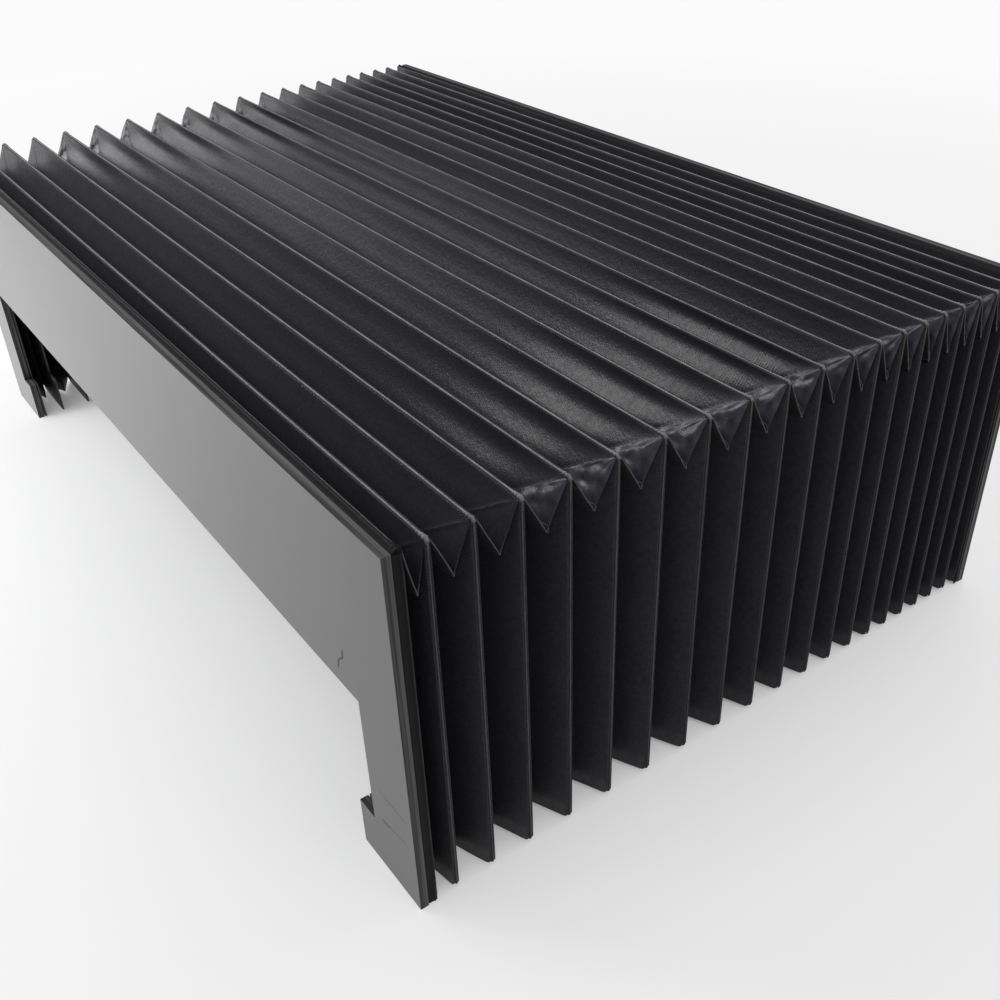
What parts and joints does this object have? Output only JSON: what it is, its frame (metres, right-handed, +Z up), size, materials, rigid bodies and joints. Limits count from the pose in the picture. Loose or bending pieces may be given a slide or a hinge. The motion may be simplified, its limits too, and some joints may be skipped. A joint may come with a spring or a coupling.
{
  "type": "bellows way cover",
  "caption": "Inverted-U accordion way cover of black coated cloth with stiffened folds, tucked square corners and grey sheet end plates with inward feet.",
  "frame": {"origin": "on the floor, midway between the outer faces of the two end plates", "axes": "+X across the tunnel, +Y along the travel from the front plate to the rear plate, +Z up"},
  "size_m": [0.5, 0.3164, 0.16],
  "materials": {
    "end_plate": "satin grey sheet",
    "spacer": "satin",
    "clamp": "satin",
    "frame": "satin",
    "cloth": "coated, fine ribs"
  },
  "bodies": {
    "rear_end": {"rear_end_plate": "end_plate", "rear_spacer_frame": "spacer", "rear_clamp_frame": "clamp", "bellows_cloth": "cloth"},
    "frame_19": {"support_frame_19": "frame"},
    "frame_18": {"support_frame_18": "frame"},
    "frame_17": {"support_frame_17": "frame"},
    "frame_16": {"support_frame_16": "frame"},
    "frame_15": {"support_frame_15": "frame"},
    "frame_14": {"support_frame_14": "frame"},
    "frame_13": {"support_frame_13": "frame"},
    "frame_12": {"support_frame_12": "frame"},
    "frame_11": {"support_frame_11": "frame"},
    "frame_10": {"support_frame_10": "frame"},
    "frame_09": {"support_frame_09": "frame"},
    "frame_08": {"support_frame_08": "frame"},
    "frame_07": {"support_frame_07": "frame"},
    "frame_06": {"support_frame_06": "frame"},
    "frame_05": {"support_frame_05": "frame"},
    "frame_04": {"support_frame_04": "frame"},
    "frame_03": {"support_frame_03": "frame"},
    "frame_02": {"support_frame_02": "frame"},
    "frame_01": {"support_frame_01": "frame"},
    "front_end": {"front_end_plate": "end_plate", "front_spacer_frame": "spacer", "front_clamp_frame": "clamp"}
  },
  "joints": [
    {"name": "fold_20", "type": "slide", "parent": "rear_end", "child": "frame_19", "axis": [0, -1, 0], "range_m": [-0.00601, 0.00331]},
    {"name": "fold_19", "type": "slide", "parent": "frame_19", "child": "frame_18", "axis": [0, -1, 0], "range_m": [-0.00686, 0.00378]},
    {"name": "fold_18", "type": "slide", "parent": "frame_18", "child": "frame_17", "axis": [0, -1, 0], "range_m": [-0.00706, 0.00388]},
    {"name": "fold_17", "type": "slide", "parent": "frame_17", "child": "frame_16", "axis": [0, -1, 0], "range_m": [-0.00736, 0.00405]},
    {"name": "fold_16", "type": "slide", "parent": "frame_16", "child": "frame_15", "axis": [0, -1, 0], "range_m": [-0.00782, 0.0043]},
    {"name": "fold_15", "type": "slide", "parent": "frame_15", "child": "frame_14", "axis": [0, -1, 0], "range_m": [-0.00846, 0.00466]},
    {"name": "fold_14", "type": "slide", "parent": "frame_14", "child": "frame_13", "axis": [0, -1, 0], "range_m": [-0.0093, 0.00512]},
    {"name": "fold_13", "type": "slide", "parent": "frame_13", "child": "frame_12", "axis": [0, -1, 0], "range_m": [-0.01036, 0.0057]},
    {"name": "fold_12", "type": "slide", "parent": "frame_12", "child": "frame_11", "axis": [0, -1, 0], "range_m": [-0.01159, 0.00638]},
    {"name": "fold_11", "type": "slide", "parent": "frame_11", "child": "frame_10", "axis": [0, -1, 0], "range_m": [-0.01293, 0.00711]},
    {"name": "fold_10", "type": "slide", "parent": "frame_10", "child": "frame_09", "axis": [0, -1, 0], "range_m": [-0.01424, 0.00784]},
    {"name": "fold_09", "type": "slide", "parent": "frame_09", "child": "frame_08", "axis": [0, -1, 0], "range_m": [-0.01541, 0.00848]},
    {"name": "fold_08", "type": "slide", "parent": "frame_08", "child": "frame_07", "axis": [0, -1, 0], "range_m": [-0.01628, 0.00896]},
    {"name": "fold_07", "type": "slide", "parent": "frame_07", "child": "frame_06", "axis": [0, -1, 0], "range_m": [-0.01674, 0.00921], "deforming": ["bellows_cloth"]},
    {"name": "fold_06", "type": "slide", "parent": "frame_06", "child": "frame_05", "axis": [0, -1, 0], "range_m": [-0.01675, 0.00922]},
    {"name": "fold_05", "type": "slide", "parent": "frame_05", "child": "frame_04", "axis": [0, -1, 0], "range_m": [-0.01628, 0.00896]},
    {"name": "fold_04", "type": "slide", "parent": "frame_04", "child": "frame_03", "axis": [0, -1, 0], "range_m": [-0.01541, 0.00848]},
    {"name": "fold_03", "type": "slide", "parent": "frame_03", "child": "frame_02", "axis": [0, -1, 0], "range_m": [-0.01424, 0.00784]},
    {"name": "fold_02", "type": "slide", "parent": "frame_02", "child": "frame_01", "axis": [0, -1, 0], "range_m": [-0.01293, 0.00711]},
    {"name": "fold_01", "type": "slide", "parent": "frame_01", "child": "front_end", "axis": [0, -1, 0], "range_m": [-0.00601, 0.00331]}
  ],
  "couplings": [
    {"joint": "fold_20", "follows": "fold_07", "ratio": 0.35843},
    {"joint": "fold_19", "follows": "fold_07", "ratio": 0.40936},
    {"joint": "fold_18", "follows": "fold_07", "ratio": 0.4209},
    {"joint": "fold_17", "follows": "fold_07", "ratio": 0.4391},
    {"joint": "fold_16", "follows": "fold_07", "ratio": 0.46624},
    {"joint": "fold_15", "follows": "fold_07", "ratio": 0.50447},
    {"joint": "fold_14", "follows": "fold_07", "ratio": 0.5552},
    {"joint": "fold_13", "follows": "fold_07", "ratio": 0.61843},
    {"joint": "fold_12", "follows": "fold_07", "ratio": 0.69206},
    {"joint": "fold_11", "follows": "fold_07", "ratio": 0.77158},
    {"joint": "fold_10", "follows": "fold_07", "ratio": 0.85023},
    {"joint": "fold_09", "follows": "fold_07", "ratio": 0.91981},
    {"joint": "fold_08", "follows": "fold_07", "ratio": 0.97199},
    {"joint": "fold_06", "follows": "fold_07", "ratio": 1},
    {"joint": "fold_05", "follows": "fold_07", "ratio": 0.97199},
    {"joint": "fold_04", "follows": "fold_07", "ratio": 0.91981},
    {"joint": "fold_03", "follows": "fold_07", "ratio": 0.85023},
    {"joint": "fold_02", "follows": "fold_07", "ratio": 0.77158},
    {"joint": "fold_01", "follows": "fold_07", "ratio": 0.35843}
  ]
}
